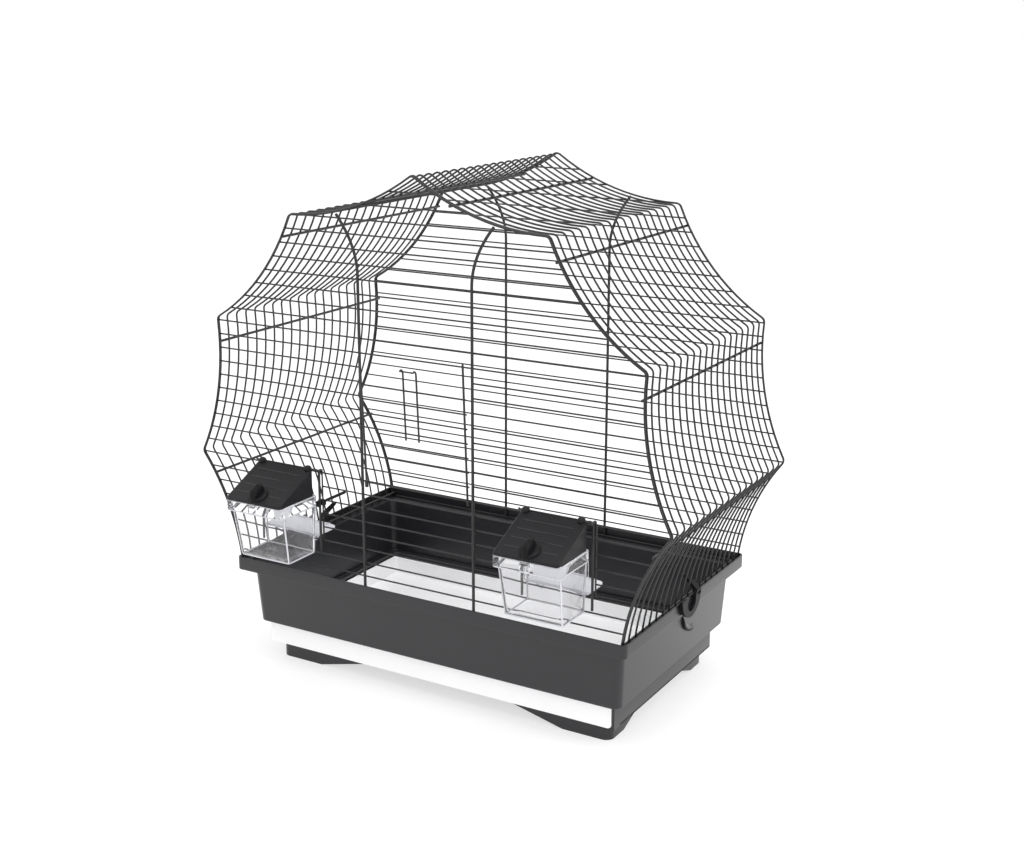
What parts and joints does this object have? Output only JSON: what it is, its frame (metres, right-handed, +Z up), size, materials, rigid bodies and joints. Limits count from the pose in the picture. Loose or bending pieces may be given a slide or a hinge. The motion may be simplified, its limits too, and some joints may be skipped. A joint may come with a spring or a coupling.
{
  "type": "bird cage on stand",
  "caption": "Black wire bird cage with a scalloped fan-shaped outline, on a stepped plastic base with a pull-out tray, a lift-up front door and clear hooded feeders",
  "frame": {"origin": "middle of the bottom of the bounding box, on the floor plane under the four feet", "axes": "+Z up, front with the door and feeders towards -Y, +X to the viewer's right when facing the front"},
  "size_m": [0.5894, 0.3698, 0.577],
  "materials": {
    "wire": "black enamel, slightly glossy",
    "base": "charcoal moulded plastic, satin",
    "tray": "white moulded plastic, satin",
    "clear": "clear moulded plastic, glossy",
    "black_plastic": "black moulded plastic, satin"
  },
  "bodies": {
    "base": {"base_tub": "base", "drawer_plinth": "base"},
    "drawer": {"drawer_tray": "tray"},
    "cage": {"wrap_side_right": "wire", "wrap_flank_right": "wire", "wrap_shoulder_right": "wire", "wrap_roof_right": "wire", "wrap_roof_left": "wire", "wrap_shoulder_left": "wire", "wrap_flank_left": "wire", "wrap_side_left": "wire", "front_grille": "wire", "front_corner_left": "wire", "front_corner_right": "wire", "back_grille": "wire", "feeder_bracket_left": "wire", "feeder_bracket_right": "wire", "perch_peg_left": "black_plastic", "perch_peg_right": "black_plastic"},
    "door": {"main_door": "wire"},
    "hook": {"door_hook": "wire"},
    "cup_left": {"feeder_cup_left": "clear", "feeder_ledge_left": "clear"},
    "cup_right": {"feeder_cup_right": "clear", "feeder_ledge_right": "clear"},
    "lid_left": {"feeder_lid_left": "black_plastic"},
    "lid_right": {"feeder_lid_right": "black_plastic"},
    "clip_left": {"side_clip_left": "black_plastic"},
    "clip_right": {"side_clip_right": "black_plastic"}
  },
  "joints": [
    {"name": "drawer_slide", "type": "slide", "parent": "base", "child": "drawer", "axis": [0, -1, 0], "range_m": [0, 0.2]},
    {"name": "cage_lift", "type": "slide", "parent": "base", "child": "cage", "axis": [0, 0, 1], "range_m": [0, 0.12]},
    {"name": "door_slide", "type": "slide", "parent": "cage", "child": "door", "axis": [0, -0.0523, 0.9986], "range_m": [0, 0.12]},
    {"name": "hook_swing", "type": "hinge", "parent": "door", "child": "hook", "pos_m": [0, -0.1252, 0.3038], "axis": [1, 0, 0], "range_deg": [0, 60]},
    {"name": "cup_lift_left", "type": "slide", "parent": "cage", "child": "cup_left", "axis": [0, 0, 1], "range_m": [0, 0.012]},
    {"name": "cup_lift_right", "type": "slide", "parent": "cage", "child": "cup_right", "axis": [0, 0, 1], "range_m": [0, 0.012]},
    {"name": "lid_hinge_left", "type": "hinge", "parent": "cup_left", "child": "lid_left", "pos_m": [-0.1695, -0.12745, 0.252], "axis": [-1, 0, 0], "range_deg": [0, 45]},
    {"name": "lid_hinge_right", "type": "hinge", "parent": "cup_right", "child": "lid_right", "pos_m": [0.1695, -0.12745, 0.252], "axis": [-1, 0, 0], "range_deg": [0, 45]},
    {"name": "clip_hinge_left", "type": "hinge", "parent": "cage", "child": "clip_left", "pos_m": [-0.2386, 0.0467, 0.146], "axis": [0, 1, 0], "range_deg": [0, 40]},
    {"name": "clip_hinge_right", "type": "hinge", "parent": "cage", "child": "clip_right", "pos_m": [0.2386, 0.0467, 0.146], "axis": [0, -1, 0], "range_deg": [0, 40]}
  ]
}
